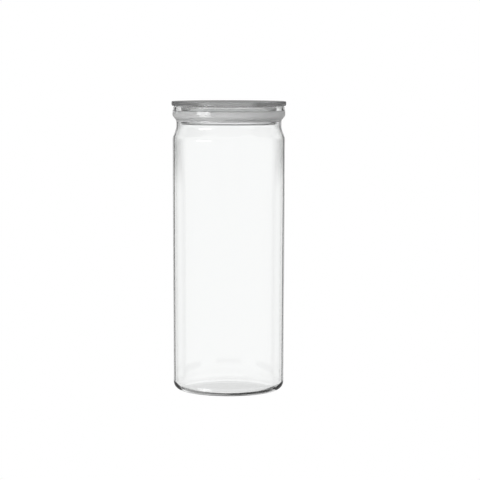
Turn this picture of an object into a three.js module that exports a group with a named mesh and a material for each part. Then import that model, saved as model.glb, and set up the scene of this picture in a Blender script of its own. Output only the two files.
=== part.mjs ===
// A tall glass storage canister for dry food, in three separate pieces: a thin-walled jar with
// a flared mouth, a moulded glass lid whose hollow plug drops into that mouth, and the silicone
// ring that sits in the plug's groove and seals it against the glass.
//
// Millimetres, +Z up. The origin is the centre of the face that the jar stands on, and every
// piece is turned about the Z axis.

import * as THREE from 'three';

// ---- Driving dimensions -------------------------------------------------------------------

const FACETS = 48; // flats round every turned surface
const CLEARANCE = 0.3; // between neighbouring pieces

// Jar, from the foot up
const WALL = 1.6; // glass thickness of the side, the shoulder and the neck
const LIP_WALL = 2.6; // the glass thickens through the flare to the rim
const FLOOR_THICKNESS = 2.1;
const FOOT_CORNER_RADIUS = 7.5; // outer rounding between the flat foot and the side
const INNER_CORNER_RADIUS = 6.4; // the glass thickens a little in this corner
const BODY_BASE_RADIUS = 54.35; // the side widens very slightly towards the shoulder
const BODY_TOP_RADIUS = 55.2;
const SHOULDER_BOTTOM = 246.6;
const NECK_RADIUS = 51.7;
const NECK_BOTTOM = 260.1;
const NECK_TOP = 265.2;
const LIP_RADIUS = 55.4;
const LIP_BOTTOM = 272; // where the flare reaches its full width
const LIP_BULGE_RADIUS = 30; // the lip leans in along this gentle arc
const JAR_HEIGHT = 280;

// Lid
const DISC_RADIUS = 56.3;
const DISC_THICKNESS = 4.5;
const DISC_TOP_EDGE = 1; // edge roundings
const DISC_BOTTOM_EDGE = 1.6;
const PLUG_RADIUS = 47;
const PLUG_WALL = 5;
const PLUG_DEPTH = 18.1; // below the disc
const PLUG_RIM_ROUNDING = 1.7;
const PLUG_ROOT_FILLET = 2; // outside, where the plug meets the disc
const PLUG_CEILING_FILLET = 4; // inside, where the plug meets the disc
const GROOVE_DEPTH = 1.2;
const GROOVE_BOTTOM = 265;
const GROOVE_TOP = 275.5;

// Seal ring
const SEAL_MAX_RADIUS = 51.7; // passes the rim with clearance when the lid lifts
const SEAL_CREASE_HEIGHT = 2.3; // a V-shaped crease round the outside, above the seal's foot
const SEAL_CREASE_HALF_WIDTH = 0.5;
const SEAL_CREASE_DEPTH = 0.9;

// ---- Worked-out dimensions ----------------------------------------------------------------

const discBottom = JAR_HEIGHT + CLEARANCE;
const discTop = discBottom + DISC_THICKNESS;
const plugBottom = discBottom - PLUG_DEPTH;
const grooveRadius = PLUG_RADIUS - GROOVE_DEPTH;
const sealBottom = GROOVE_BOTTOM + CLEARANCE;
const sealTop = GROOVE_TOP - CLEARANCE;
const sealInnerRadius = grooveRadius + CLEARANCE;

// ---- Profile helpers: a profile point is (radius, height) ---------------------------------

function at(radius, height) {
  return new THREE.Vector2(radius, height);
}

/** Points along an arc, ends included. Angles are in degrees from outward towards up. */
function arc(centreRadius, centreHeight, arcRadius, fromDegrees, toDegrees, steps) {
  return Array.from({ length: steps + 1 }, (_, i) => {
    const degrees = THREE.MathUtils.lerp(fromDegrees, toDegrees, i / steps);
    const angle = THREE.MathUtils.degToRad(degrees);
    return at(
      centreRadius + arcRadius * Math.cos(angle),
      centreHeight + arcRadius * Math.sin(angle),
    );
  });
}

/** Radius of a smooth S-shaped change of width, at a height between its two ends. */
function easedRadius(height, bottom, bottomRadius, top, topRadius) {
  const blend = (1 - Math.cos((Math.PI * (height - bottom)) / (top - bottom))) / 2;
  return THREE.MathUtils.lerp(bottomRadius, topRadius, blend);
}

/** Points of a smooth S-shaped change of width, ends included. */
function easedSide(bottom, bottomRadius, top, topRadius, steps) {
  return Array.from({ length: steps + 1 }, (_, i) => {
    const height = THREE.MathUtils.lerp(bottom, top, i / steps);
    return at(easedRadius(height, bottom, bottomRadius, top, topRadius), height);
  });
}

/** A solid turned about +Z from a profile that keeps its material on its left-hand side. */
function turned(name, profile, material) {
  const geometry = new THREE.LatheGeometry(profile, FACETS);
  geometry.rotateX(Math.PI / 2);
  const mesh = new THREE.Mesh(geometry, material);
  mesh.name = name;
  return mesh;
}

// ---- Materials ----------------------------------------------------------------------------

const clearGlass = new THREE.MeshStandardMaterial({
  name: 'clear_glass',
  color: 0xf4f7f6,
  roughness: 0.03,
  metalness: 0,
  transparent: true,
  opacity: 0.3,
});

const lidGlass = new THREE.MeshStandardMaterial({
  name: 'lid_glass',
  color: 0xb9bdbc,
  roughness: 0.05,
  metalness: 0,
  transparent: true,
  opacity: 0.6,
});

const greySilicone = new THREE.MeshStandardMaterial({
  name: 'grey_silicone',
  color: 0xb4b6b5,
  roughness: 0.55,
  metalness: 0,
});

// ---- Jar ----------------------------------------------------------------------------------

/** Glass thickness of the side at a height. */
function wallAt(height) {
  const inFlare = THREE.MathUtils.clamp(height, NECK_TOP, LIP_BOTTOM);
  return easedRadius(inFlare, NECK_TOP, WALL, LIP_BOTTOM, LIP_WALL);
}

/** The jar's outer side from the shoulder to just under the rim. */
function jarUpperSide() {
  const rimCentre = JAR_HEIGHT - LIP_WALL / 2;
  const bulgeAngle = THREE.MathUtils.radToDeg(
    Math.asin((rimCentre - LIP_BOTTOM) / LIP_BULGE_RADIUS),
  );
  return [
    ...easedSide(SHOULDER_BOTTOM, BODY_TOP_RADIUS, NECK_BOTTOM, NECK_RADIUS, 8),
    ...easedSide(NECK_TOP, NECK_RADIUS, LIP_BOTTOM, LIP_RADIUS, 6).slice(0, -1),
    ...arc(LIP_RADIUS - LIP_BULGE_RADIUS, LIP_BOTTOM, LIP_BULGE_RADIUS, 0, bulgeAngle, 2),
  ];
}

function makeJar() {
  const footCentre = BODY_BASE_RADIUS - FOOT_CORNER_RADIUS;
  const innerCentre = BODY_BASE_RADIUS - WALL - INNER_CORNER_RADIUS;
  const outside = jarUpperSide();
  const inside = outside.map((point) => at(point.x - wallAt(point.y), point.y)).reverse();
  const rimRadius = outside.at(-1).x - LIP_WALL / 2;
  const rim = arc(rimRadius, JAR_HEIGHT - LIP_WALL / 2, LIP_WALL / 2, 0, 180, 6).slice(1, -1);
  return turned('jar', [
    at(0, 0),
    ...arc(footCentre, FOOT_CORNER_RADIUS, FOOT_CORNER_RADIUS, -90, 0, 6),
    ...outside,
    ...rim,
    ...inside,
    ...arc(innerCentre, FLOOR_THICKNESS + INNER_CORNER_RADIUS, INNER_CORNER_RADIUS, 0, -90, 5),
    at(0, FLOOR_THICKNESS),
  ], clearGlass);
}

/** Radius of the jar's inner wall at a height in the neck, the flare or the lip. */
function mouthRadius(height) {
  const inFlare = THREE.MathUtils.clamp(height, NECK_TOP, LIP_BOTTOM);
  return easedRadius(inFlare, NECK_TOP, NECK_RADIUS, LIP_BOTTOM, LIP_RADIUS) - wallAt(height);
}

// ---- Lid ----------------------------------------------------------------------------------

/** A thick flat disc with a rounded edge, one piece with the hollow plug under it. */
function makeLid() {
  const ceilingCentre = PLUG_RADIUS - PLUG_WALL - PLUG_CEILING_FILLET;
  const rim = PLUG_RIM_ROUNDING;
  return turned('lid', [
    at(0, discBottom),
    ...arc(ceilingCentre, discBottom - PLUG_CEILING_FILLET, PLUG_CEILING_FILLET, 90, 0, 4),
    ...arc(PLUG_RADIUS - PLUG_WALL + rim, plugBottom + rim, rim, -180, -90, 3),
    ...arc(PLUG_RADIUS - rim, plugBottom + rim, rim, -90, 0, 3),
    at(PLUG_RADIUS, GROOVE_BOTTOM),
    at(grooveRadius, GROOVE_BOTTOM),
    at(grooveRadius, GROOVE_TOP),
    at(PLUG_RADIUS, GROOVE_TOP),
    ...arc(PLUG_RADIUS + PLUG_ROOT_FILLET, discBottom - PLUG_ROOT_FILLET,
      PLUG_ROOT_FILLET, 180, 90, 2),
    ...arc(DISC_RADIUS - DISC_BOTTOM_EDGE, discBottom + DISC_BOTTOM_EDGE,
      DISC_BOTTOM_EDGE, -90, 0, 5),
    ...arc(DISC_RADIUS - DISC_TOP_EDGE, discTop - DISC_TOP_EDGE, DISC_TOP_EDGE, 0, 90, 3),
    at(0, discTop),
  ], lidGlass);
}

// ---- Seal ---------------------------------------------------------------------------------

/** A ring in the plug's groove. Its outside follows the flared mouth, with a crease low down. */
function makeSeal() {
  const outer = (height, setback = 0) =>
    at(Math.min(mouthRadius(height) - CLEARANCE, SEAL_MAX_RADIUS) - setback, height);
  const crease = sealBottom + SEAL_CREASE_HEIGHT;
  const creaseTop = crease + SEAL_CREASE_HALF_WIDTH;
  const side = Array.from({ length: 6 }, (_, i) =>
    outer(THREE.MathUtils.lerp(creaseTop, sealTop, i / 5)));
  const start = at(sealInnerRadius, sealBottom);
  return turned('seal_ring', [
    start,
    outer(sealBottom),
    outer(crease - SEAL_CREASE_HALF_WIDTH),
    outer(crease, SEAL_CREASE_DEPTH),
    ...side,
    at(sealInnerRadius, sealTop),
    start,
  ], greySilicone);
}

// ---- Assembly -----------------------------------------------------------------------------

const lidAssembly = new THREE.Group();
lidAssembly.add(makeLid(), makeSeal());

const group = new THREE.Group();
group.add(makeJar(), lidAssembly);

export default group;
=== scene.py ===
"""A tall glass storage canister, closed by a glass lid with a silicone seal, in a white studio.

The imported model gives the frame. Each CAD node is a faceted solid, so each one is replaced by a
finely turned piece of the same size. Sizes are in millimetres until turned() or a material
scales them to metres.
"""

import math

import bmesh
import bpy
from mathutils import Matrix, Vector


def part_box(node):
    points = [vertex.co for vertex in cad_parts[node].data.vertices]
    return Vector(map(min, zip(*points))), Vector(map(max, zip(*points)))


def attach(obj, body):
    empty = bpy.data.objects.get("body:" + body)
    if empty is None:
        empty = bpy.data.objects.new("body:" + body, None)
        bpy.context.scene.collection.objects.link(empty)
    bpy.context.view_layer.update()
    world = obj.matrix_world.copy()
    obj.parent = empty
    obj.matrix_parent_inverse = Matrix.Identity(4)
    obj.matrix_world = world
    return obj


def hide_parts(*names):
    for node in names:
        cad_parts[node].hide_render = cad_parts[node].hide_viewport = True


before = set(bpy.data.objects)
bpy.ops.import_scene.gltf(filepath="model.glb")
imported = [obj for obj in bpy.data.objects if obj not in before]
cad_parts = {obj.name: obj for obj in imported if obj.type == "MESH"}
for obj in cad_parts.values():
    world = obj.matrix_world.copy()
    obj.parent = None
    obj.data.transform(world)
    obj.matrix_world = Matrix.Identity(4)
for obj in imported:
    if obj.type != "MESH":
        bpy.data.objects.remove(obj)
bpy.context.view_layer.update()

# ---- Sizes, in millimetres ------------------------------------------------------------------

MM = 0.001
TURNED_STEPS = 256  # faces round every turned piece
ARC_STEP_DEGREES = 7.5
EASED_STEPS = 20  # points along every S-shaped change of width
LONG_EDGE = 1.5  # a straight stretch longer than this gets a holding loop near each end
HOLDING_LOOP = 0.25
SAME_POINT = 1e-6  # points closer than this are one point

WALL = 1.6  # glass thickness of the side, the shoulder and the neck
LIP_WALL = 2.6
FLOOR_THICKNESS = 2.1
FOOT_CORNER_RADIUS = 7.5
INNER_CORNER_RADIUS = 6.4  # the glass thickens a little in this corner
BODY_BASE_RADIUS = 54.35  # the side widens very slightly towards the shoulder
BODY_TOP_RADIUS = 55.2
SHOULDER_BOTTOM = 246.6
NECK_RADIUS = 51.7
NECK_BOTTOM = 260.1
NECK_TOP = 265.2
LIP_BOTTOM = 272.0
LIP_BULGE_RADIUS = 30.0

DISC_THICKNESS = 4.5
DISC_TOP_EDGE = 1.0
DISC_BOTTOM_EDGE = 1.6
PLUG_RADIUS = 47.0
PLUG_WALL = 5.0
PLUG_RIM_ROUNDING = 1.7
PLUG_ROOT_FILLET = 2.0
PLUG_CEILING_FILLET = 4.0
GROOVE_DEPTH = 1.2
GROOVE_BOTTOM = 265.0
GROOVE_TOP = 275.5
GROOVE_FILLET = 0.4  # rounding of the groove's inner corners
GROOVE_EDGE = 0.2  # rounding of its edges
GROUND_EDGE_ROUGHNESS = 0.3  # on the upper part of the disc's edge
GROUND_EDGE_DEPTH = 1.5  # how far in it starts
GROUND_EDGE_BOTTOM = 0.8  # how far above the disc's underside it starts
GROUND_EDGE_FADE = 0.75  # over this distance it comes in

SEAL_STEPS = 80  # points up the outside of the seal
SEAL_GRIP = 0.03  # how far the seal presses into the glass it touches
SEAL_CREASE_HEIGHT = 2.3  # above the bottom of the seal
SEAL_CREASE_HALF_WIDTH = 0.5
SEAL_CREASE_DEPTH = 0.9


def frame_mm(node):
    """Largest radius, lowest height and highest height of a CAD node."""
    low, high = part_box(node)
    return high.x / MM, low.z / MM, high.z / MM


LIP_RADIUS, _, JAR_HEIGHT = frame_mm("jar")
DISC_RADIUS, PLUG_BOTTOM, DISC_TOP = frame_mm("lid")
_, SEAL_BOTTOM, SEAL_TOP = frame_mm("seal_ring")
DISC_BOTTOM = DISC_TOP - DISC_THICKNESS

# ---- Profiles: a profile point is (radius, height) ------------------------------------------


def arc(radius, height, arc_radius, start, end):
    """Points along an arc about (radius, height), angles in degrees from outward towards up."""
    steps = max(2, math.ceil(abs(end - start) / ARC_STEP_DEGREES))
    angles = [math.radians(start + (end - start) * i / steps) for i in range(steps + 1)]
    return [(radius + arc_radius * math.cos(a), height + arc_radius * math.sin(a)) for a in angles]


def eased(height, bottom, bottom_radius, top, top_radius):
    """Radius of a smooth S-shaped change of width, at a height between its ends."""
    blend = (1 - math.cos(math.pi * (height - bottom) / (top - bottom))) / 2
    return bottom_radius + (top_radius - bottom_radius) * blend


def eased_side(bottom, bottom_radius, top, top_radius):
    """Points of a smooth S-shaped change of width."""
    heights = [bottom + (top - bottom) * i / EASED_STEPS for i in range(EASED_STEPS + 1)]
    return [(eased(h, bottom, bottom_radius, top, top_radius), h) for h in heights]


def with_holding_loops(profile):
    """The profile with a point near each end of its long straight stretches."""
    held = []
    for (r0, h0), (r1, h1) in zip(profile, profile[1:]):
        held.append((r0, h0))
        length = math.hypot(r1 - r0, h1 - h0)
        if length > LONG_EDGE:
            for t in (HOLDING_LOOP / length, 1 - HOLDING_LOOP / length):
                held.append((r0 + (r1 - r0) * t, h0 + (h1 - h0) * t))
    return held + [profile[-1]]


def turned(name, profile):
    """A smooth solid of revolution about Z. The profile runs from axis to axis, or closes."""
    points = with_holding_loops(profile)
    closed = math.dist(points[0], points[-1]) < SAME_POINT
    if closed:
        points = points[:-1]
    shape = bmesh.new()
    rings = []
    for radius, height in points:
        if radius < SAME_POINT:
            rings.append([shape.verts.new((0, 0, height * MM))])
            continue
        turns = [2 * math.pi * i / TURNED_STEPS for i in range(TURNED_STEPS)]
        rings.append([
            shape.verts.new((radius * MM * math.cos(t), radius * MM * math.sin(t), height * MM))
            for t in turns
        ])
    pairs = list(zip(rings, rings[1:]))
    if closed:
        pairs.append((rings[-1], rings[0]))
    for lower, upper in pairs:
        for i in range(TURNED_STEPS):
            j = (i + 1) % TURNED_STEPS
            corners = [
                lower[i % len(lower)], lower[j % len(lower)],
                upper[j % len(upper)], upper[i % len(upper)],
            ]
            shape.faces.new(list(dict.fromkeys(corners)))
    bmesh.ops.recalc_face_normals(shape, faces=shape.faces)
    mesh = bpy.data.meshes.new(name)
    shape.to_mesh(mesh)
    shape.free()
    mesh.shade_smooth()
    piece = bpy.data.objects.new(name, mesh)
    bpy.context.scene.collection.objects.link(piece)
    return piece


# ---- Pieces ---------------------------------------------------------------------------------


def jar_upper_side():
    """The jar's outer side from the shoulder to just under the rim."""
    rim_height = JAR_HEIGHT - LIP_WALL / 2
    lean = math.degrees(math.asin((rim_height - LIP_BOTTOM) / LIP_BULGE_RADIUS))
    return (
        eased_side(SHOULDER_BOTTOM, BODY_TOP_RADIUS, NECK_BOTTOM, NECK_RADIUS)
        + eased_side(NECK_TOP, NECK_RADIUS, LIP_BOTTOM, LIP_RADIUS)[:-1]
        + arc(LIP_RADIUS - LIP_BULGE_RADIUS, LIP_BOTTOM, LIP_BULGE_RADIUS, 0, lean)
    )


def wall(height):
    """Thickness of the side, which grows through the flare to the lip."""
    clamped = min(max(height, NECK_TOP), LIP_BOTTOM)
    return eased(clamped, NECK_TOP, WALL, LIP_BOTTOM, LIP_WALL)


def jar_piece():
    """Foot, side, shoulder, neck and flared lip, all one piece of glass."""
    foot_centre = BODY_BASE_RADIUS - FOOT_CORNER_RADIUS
    inner_centre = BODY_BASE_RADIUS - WALL - INNER_CORNER_RADIUS
    outside = jar_upper_side()
    inside = [(radius - wall(height), height) for radius, height in reversed(outside)]
    rim_radius = outside[-1][0] - LIP_WALL / 2
    return turned("jar_body", [
        (0, 0),
        *arc(foot_centre, FOOT_CORNER_RADIUS, FOOT_CORNER_RADIUS, -90, 0),
        *outside,
        *arc(rim_radius, JAR_HEIGHT - LIP_WALL / 2, LIP_WALL / 2, 0, 180)[1:-1],
        *inside,
        *arc(inner_centre, FLOOR_THICKNESS + INNER_CORNER_RADIUS, INNER_CORNER_RADIUS, 0, -90),
        (0, FLOOR_THICKNESS),
    ])


def lid_piece():
    """A flat disc with a hollow plug under it, and a groove round the plug for the seal."""
    ceiling_centre = PLUG_RADIUS - PLUG_WALL - PLUG_CEILING_FILLET
    groove_radius = PLUG_RADIUS - GROOVE_DEPTH
    rim = PLUG_RIM_ROUNDING
    soft = GROOVE_FILLET
    edge = GROOVE_EDGE
    return turned("lid_disc_and_plug", [
        (0, DISC_BOTTOM),
        *arc(ceiling_centre, DISC_BOTTOM - PLUG_CEILING_FILLET, PLUG_CEILING_FILLET, 90, 0),
        *arc(PLUG_RADIUS - PLUG_WALL + rim, PLUG_BOTTOM + rim, rim, -180, -90),
        *arc(PLUG_RADIUS - rim, PLUG_BOTTOM + rim, rim, -90, 0),
        *arc(PLUG_RADIUS - edge, GROOVE_BOTTOM - edge, edge, 0, 90),
        *arc(groove_radius + soft, GROOVE_BOTTOM + soft, soft, 270, 180),
        *arc(groove_radius + soft, GROOVE_TOP - soft, soft, 180, 90),
        *arc(PLUG_RADIUS - edge, GROOVE_TOP + edge, edge, -90, 0),
        *arc(PLUG_RADIUS + PLUG_ROOT_FILLET, DISC_BOTTOM - PLUG_ROOT_FILLET,
             PLUG_ROOT_FILLET, 180, 90),
        *arc(DISC_RADIUS - DISC_BOTTOM_EDGE, DISC_BOTTOM + DISC_BOTTOM_EDGE,
             DISC_BOTTOM_EDGE, -90, 0),
        *arc(DISC_RADIUS - DISC_TOP_EDGE, DISC_TOP - DISC_TOP_EDGE, DISC_TOP_EDGE, 0, 90),
        (0, DISC_TOP),
    ])


def mouth_radius(height):
    """Radius of the jar's inner wall in the neck, the flare or the lip."""
    clamped = min(max(height, NECK_TOP), LIP_BOTTOM)
    return eased(clamped, NECK_TOP, NECK_RADIUS, LIP_BOTTOM, LIP_RADIUS) - wall(height)


def seal_piece():
    """A ring in the plug's groove that follows the flared mouth, with a crease near its foot."""
    inner = PLUG_RADIUS - GROOVE_DEPTH
    crease = SEAL_BOTTOM + SEAL_CREASE_HEIGHT

    def outer(height):
        depth = max(0.0, 1 - abs(height - crease) / SEAL_CREASE_HALF_WIDTH)
        setback = SEAL_CREASE_DEPTH * depth * depth * (3 - 2 * depth)
        return (mouth_radius(height) + SEAL_GRIP - setback, height)

    rise = (SEAL_TOP - SEAL_BOTTOM) / SEAL_STEPS
    side = [outer(SEAL_BOTTOM + rise * i) for i in range(SEAL_STEPS + 1)]
    return turned("seal", [(inner, SEAL_BOTTOM), *side, (inner, SEAL_TOP), (inner, SEAL_BOTTOM)])


# ---- Materials ------------------------------------------------------------------------------


def new_material(name):
    """A material with its Principled shader and its node tree."""
    material = bpy.data.materials.new(name)
    material.use_nodes = True
    return material, material.node_tree, material.node_tree.nodes["Principled BSDF"]


def link(tree, source, output, target, socket):
    tree.links.new(source.outputs[output], target.inputs[socket])


def calculate(tree, operation, first, second=0.0):
    """The output of a Math node. Each value is a number or another node's output."""
    node = tree.nodes.new("ShaderNodeMath")
    node.operation = operation
    for socket, value in zip(node.inputs, (first, second)):
        if isinstance(value, float):
            socket.default_value = value
        else:
            tree.links.new(value, socket)
    return node.outputs["Value"]


def noise(tree, per_metre, detail=2.0, stretch=(1, 1, 1)):
    """A noise texture in object space, with about so many features per metre."""
    place = tree.nodes.new("ShaderNodeTexCoord")
    mapping = tree.nodes.new("ShaderNodeMapping")
    mapping.inputs["Scale"].default_value = stretch
    texture = tree.nodes.new("ShaderNodeTexNoise")
    texture.inputs["Scale"].default_value = per_metre
    texture.inputs["Detail"].default_value = detail
    link(tree, place, "Object", mapping, "Vector")
    link(tree, mapping, "Vector", texture, "Vector")
    return texture


def bump(tree, shader, height, depth):
    """Bump of a given depth in millimetres from a height texture."""
    node = tree.nodes.new("ShaderNodeBump")
    node.inputs["Distance"].default_value = depth * MM
    node.inputs["Strength"].default_value = 1.0
    link(tree, height, "Fac", node, "Height")
    link(tree, node, "Normal", shader, "Normal")


def ranged(tree, source, low, high):
    """A texture's value brought into a range."""
    node = tree.nodes.new("ShaderNodeMapRange")
    node.inputs["To Min"].default_value = low
    node.inputs["To Max"].default_value = high
    link(tree, source, "Fac", node, "Value")
    return node


def rising(tree, value, low, high, top=1.0):
    """0 up to a low value, then evenly up to top at a high value. Both are in millimetres."""
    node = tree.nodes.new("ShaderNodeMapRange")
    node.inputs["From Min"].default_value = low * MM
    node.inputs["From Max"].default_value = high * MM
    node.inputs["To Max"].default_value = top
    tree.links.new(value, node.inputs["Value"])
    return node.outputs["Result"]


def vector_node(tree, operation):
    node = tree.nodes.new("ShaderNodeVectorMath")
    node.operation = operation
    return node


def ground_edge(tree):
    """Roughness of the disc's edge, which is left ground along its upper part."""
    place = tree.nodes.new("ShaderNodeTexCoord")
    flat = vector_node(tree, "MULTIPLY")
    flat.inputs[1].default_value = (1, 1, 0)
    across = vector_node(tree, "LENGTH")
    height = tree.nodes.new("ShaderNodeSeparateXYZ")
    link(tree, place, "Object", flat, "Vector")
    link(tree, flat, "Vector", across, "Vector")
    link(tree, place, "Object", height, "Vector")
    start = DISC_RADIUS - GROUND_EDGE_DEPTH
    outside = rising(
        tree, across.outputs["Value"], start, start + GROUND_EDGE_FADE, GROUND_EDGE_ROUGHNESS,
    )
    bottom = DISC_BOTTOM + GROUND_EDGE_BOTTOM
    upper = rising(tree, height.outputs["Z"], bottom, bottom + GROUND_EDGE_FADE)
    return calculate(tree, "MULTIPLY", outside, upper)


def clear_glass():
    """Thin glass with slow waves along the jar and a little wear."""
    material, tree, shader = new_material("clear_glass")
    shader.inputs["Base Color"].default_value = (0.985, 0.99, 0.988, 1)
    shader.inputs["Transmission Weight"].default_value = 1
    shader.inputs["IOR"].default_value = 1.47
    bump(tree, shader, noise(tree, per_metre=22, detail=1.0, stretch=(1, 1, 0.35)), depth=0.04)
    wear = ranged(tree, noise(tree, per_metre=60), low=0.0, high=0.02)
    link(tree, wear, "Result", shader, "Roughness")
    return material


def lid_glass():
    """Thick moulded glass, which reads grey through its width."""
    material, tree, shader = new_material("lid_glass")
    shader.inputs["Base Color"].default_value = (0.97, 0.975, 0.975, 1)
    shader.inputs["Transmission Weight"].default_value = 1
    shader.inputs["IOR"].default_value = 1.5
    bump(tree, shader, noise(tree, per_metre=30, detail=1.0), depth=0.03)
    wear = ranged(tree, noise(tree, per_metre=80), low=0.01, high=0.05)
    roughness = calculate(tree, "ADD", wear.outputs["Result"], ground_edge(tree))
    tree.links.new(roughness, shader.inputs["Roughness"])
    absorption = tree.nodes.new("ShaderNodeVolumeAbsorption")
    absorption.inputs["Color"].default_value = (0.5, 0.5, 0.5, 1)
    absorption.inputs["Density"].default_value = 13
    link(tree, absorption, "Volume", tree.nodes["Material Output"], "Volume")
    return material


def silicone():
    """Pale and satin, with light scattered a few millimetres under the skin."""
    material, tree, shader = new_material("silicone")
    cloud = ranged(tree, noise(tree, per_metre=40), low=0.9, high=0.94)
    shade = tree.nodes.new("ShaderNodeCombineColor")
    for channel in ("Red", "Green", "Blue"):
        link(tree, cloud, "Result", shade, channel)
    link(tree, shade, "Color", shader, "Base Color")
    shader.inputs["Subsurface Weight"].default_value = 0.15
    shader.inputs["Subsurface Radius"].default_value = (1, 1, 1)
    shader.inputs["Subsurface Scale"].default_value = 3 * MM
    bump(tree, shader, noise(tree, per_metre=1500), depth=0.02)
    satin = ranged(tree, noise(tree, per_metre=300), low=0.4, high=0.55)
    link(tree, satin, "Result", shader, "Roughness")
    return material


# ---- Studio ---------------------------------------------------------------------------------

# Light comes from soft panels in a dark room, and the dark between them draws the outlines of the
# glass. Each panel has the azimuth of its middle, how often it repeats, its half width, its lowest
# and highest elevation and the softness of its edge, all in degrees, and its radiance. Azimuth 0
# is where the camera stands. Where windows overlap, only the brightest counts.
WINDOWS = (
    (45, 90, 18, -31, -3.2, 0.6, 1.0),  # low diagonal windows, for views from above
    (0, 90, 18, -10, 3.3, 1.0, 1.0),  # higher up in the four main directions
    (180, 360, 18, -18.5, -8, 0.6, 1.0),  # straight behind
    (0, 90, 18, 3.3, 7, 1.0, 0.75),  # dimmer well above the horizon
    (186, 360, 12, -27, -17, 2, 1.0),  # lower straight behind, seen through the jar's floor
    (0, 360, 75, -12, 7, 2, 1.0),  # no gaps in front, which the far wall mirrors
    (0, 360, 120, -12, 7, 2, 0.5),  # and only pale ones at the sides
    (0, 360, 200, 7, 18, 1.5, 0.6),  # a paler sheet over the windows, all the way round
    (189, 360, 8, 6, 13, 3, 0.85),  # brighter behind on the left, mirrored by the jar's floor
    (0, 360, 60, -60, -14, 3, 0.45),  # the table in front
    (230, 360, 50, -60, -18, 3, 0.28),  # the table behind on the left
    (0, 360, 200, 18, 60, 8, 0.7),  # ceiling
    (30, 360, 80, 18, 70, 8, 1.15),  # front fill
    (0, 360, 200, -110, -75, 3, 1.0),  # straight below
)
# Keys are added to the windows, for the outer face of the glass and for the silicone only.
KEYS = (
    (-54, 360, 15, 3, 14, 2, 5.0),  # mirrored by the lip's upper half
    (-54, 360, 15, -48, -13, 3, 3.0),  # mirrored by its flare
)
MIRRORED_KEYS = 1.8  # how much brighter the keys are in the outer face of the glass
ROOM_RADIANCE = 0.03
REFLECTED_RADIANCE = 0.28  # what plain reflections see in place of the windows
ONE_BOUNCE = 0.5  # a light path's depth is over this after one bounce

FLOOR_SIZE = 60  # metres
FLOOR_GAP = 0.2 * MM  # keeps the floor clear of the foot

# The camera stands in front, on -Y. Its place is in metres and its turns in degrees.
CAMERA_PLACE = (0, -1.910, 0.322)
CAMERA_DOWN = 5.205
CAMERA_SIDE_TILT = -0.1  # about the Y axis
CAMERA_TURN = -0.3257  # about the vertical, which sets the object a little to the left
CAMERA_LENS = 145.52  # focal length in millimetres
CAMERA_SENSOR = 36  # width in millimetres
CAMERA_REACH = 100  # metres, past the far edge of the floor


def emission_material(name, strength):
    material = bpy.data.materials.new(name)
    material.use_nodes = True
    tree = material.node_tree
    tree.nodes.clear()
    glow = tree.nodes.new("ShaderNodeEmission")
    glow.inputs["Strength"].default_value = strength
    output = tree.nodes.new("ShaderNodeOutputMaterial")
    link(tree, glow, "Emission", output, "Surface")
    return material


def floor():
    """A white floor that only the camera sees. Light through the glass comes from the world."""
    bpy.ops.mesh.primitive_plane_add(size=FLOOR_SIZE, location=(0, 0, -FLOOR_GAP))
    plane = bpy.context.object
    plane.name = "floor"
    plane.data.materials.append(emission_material("white_floor", 1.0))
    plane.visible_transmission = False
    plane.visible_glossy = False
    plane.visible_diffuse = False
    plane.visible_shadow = False


def faded(tree, value, full, none):
    """1 where a value is at the full end, smoothly down to 0 at the other end."""
    node = tree.nodes.new("ShaderNodeMapRange")
    node.interpolation_type = "SMOOTHSTEP"
    node.inputs["From Min"].default_value = none
    node.inputs["From Max"].default_value = full
    tree.links.new(value, node.inputs["Value"])
    return node.outputs["Result"]


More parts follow.
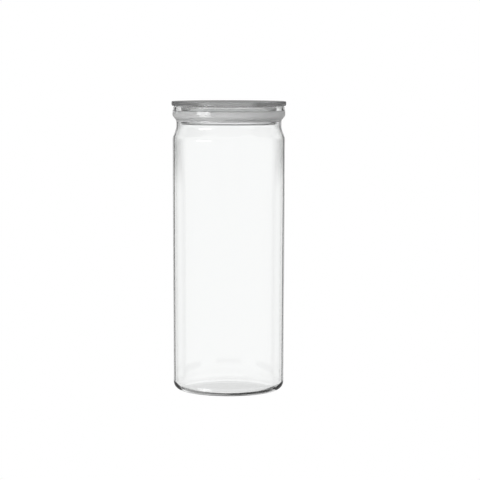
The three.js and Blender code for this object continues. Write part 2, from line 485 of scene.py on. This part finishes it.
def light_round_the_object(tree):
    """The radiance from each direction: the brightest window there, and any key."""
    place = tree.nodes.new("ShaderNodeTexCoord")
    way = tree.nodes.new("ShaderNodeSeparateXYZ")
    link(tree, place, "Generated", way, "Vector")
    backward = calculate(tree, "MULTIPLY", way.outputs["Y"], -1.0)
    azimuth = calculate(tree, "DEGREES", calculate(tree, "ARCTAN2", way.outputs["X"], backward))
    elevation = calculate(tree, "DEGREES", calculate(tree, "ARCSINE", way.outputs["Z"]))

    def panel(middle, every, half_width, low, high, edge, radiance):
        turned_by = calculate(tree, "SUBTRACT", azimuth, float(middle))
        aside = calculate(tree, "PINGPONG", turned_by, every / 2)
        across = faded(tree, aside, half_width - edge, half_width + edge)
        above = faded(tree, elevation, low + edge, low - edge)
        below = faded(tree, elevation, high - edge, high + edge)
        shape = calculate(tree, "MULTIPLY", across, calculate(tree, "MULTIPLY", above, below))
        return calculate(tree, "MULTIPLY", shape, float(radiance))

    windows = ROOM_RADIANCE
    for size in WINDOWS:
        windows = calculate(tree, "MAXIMUM", panel(*size), windows)
    path = tree.nodes.new("ShaderNodeLightPath")
    glossy, bounced = path.outputs["Is Glossy Ray"], path.outputs["Is Reflection Ray"]
    reflection = calculate(tree, "MULTIPLY", glossy, bounced)
    direct = calculate(tree, "SUBTRACT", 1.0, reflection)
    seen = calculate(tree, "MULTIPLY", windows, direct)
    light = calculate(tree, "ADD", seen, calculate(tree, "MULTIPLY", reflection, REFLECTED_RADIANCE))
    outside = calculate(tree, "LESS_THAN", path.outputs["Transmission Depth"], ONE_BOUNCE)
    mirrored = calculate(tree, "MULTIPLY", outside, MIRRORED_KEYS)
    scattered = calculate(tree, "GREATER_THAN", path.outputs["Diffuse Depth"], ONE_BOUNCE)
    lit = calculate(tree, "MAXIMUM", mirrored, scattered)
    for size in KEYS:
        light = calculate(tree, "ADD", light, calculate(tree, "MULTIPLY", panel(*size), lit))
    return light


def studio_world():
    """White to the camera. The object is lit by, and seen against, the soft panels."""
    world = bpy.data.worlds.new("studio")
    world.use_nodes = True
    tree = world.node_tree
    tree.nodes.clear()
    path = tree.nodes.new("ShaderNodeLightPath")
    seen = tree.nodes.new("ShaderNodeBackground")
    room = tree.nodes.new("ShaderNodeBackground")
    for node in (seen, room):
        node.inputs["Color"].default_value = (1, 1, 1, 1)
    tree.links.new(light_round_the_object(tree), room.inputs["Strength"])
    mix = tree.nodes.new("ShaderNodeMixShader")
    output = tree.nodes.new("ShaderNodeOutputWorld")
    link(tree, path, "Is Camera Ray", mix, "Fac")
    tree.links.new(room.outputs["Background"], mix.inputs[1])
    tree.links.new(seen.outputs["Background"], mix.inputs[2])
    link(tree, mix, "Shader", output, "Surface")
    bpy.context.scene.world = world


def camera():
    """A long lens a little above the lid, looking slightly down."""
    lens = bpy.data.cameras.new("camera")
    lens.sensor_width = CAMERA_SENSOR
    lens.lens = CAMERA_LENS
    lens.clip_end = CAMERA_REACH
    eye = bpy.data.objects.new("camera", lens)
    eye.location = CAMERA_PLACE
    turns = (90 - CAMERA_DOWN, CAMERA_SIDE_TILT, CAMERA_TURN)
    eye.rotation_euler = [math.radians(turn) for turn in turns]
    bpy.context.scene.collection.objects.link(eye)
    bpy.context.scene.camera = eye


def render_look():
    """Plain tones, and enough bounces to see through several layers of glass."""
    scene = bpy.context.scene
    scene.view_settings.view_transform = "Standard"
    scene.cycles.max_bounces = 24
    scene.cycles.transmission_bounces = 24
    scene.cycles.glossy_bounces = 12
    scene.cycles.diffuse_bounces = 6


# ---- Assembly -------------------------------------------------------------------------------

camera()
render_look()
floor()
studio_world()

for piece, node, body, slot, material in (
    (jar_piece(), "jar", "jar", "clear_glass", clear_glass()),
    (lid_piece(), "lid", "lid", "lid_glass", lid_glass()),
    (seal_piece(), "seal_ring", "lid", "silicone", silicone()),
):
    piece.data.materials.append(material)
    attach(piece, body)
    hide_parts(node)
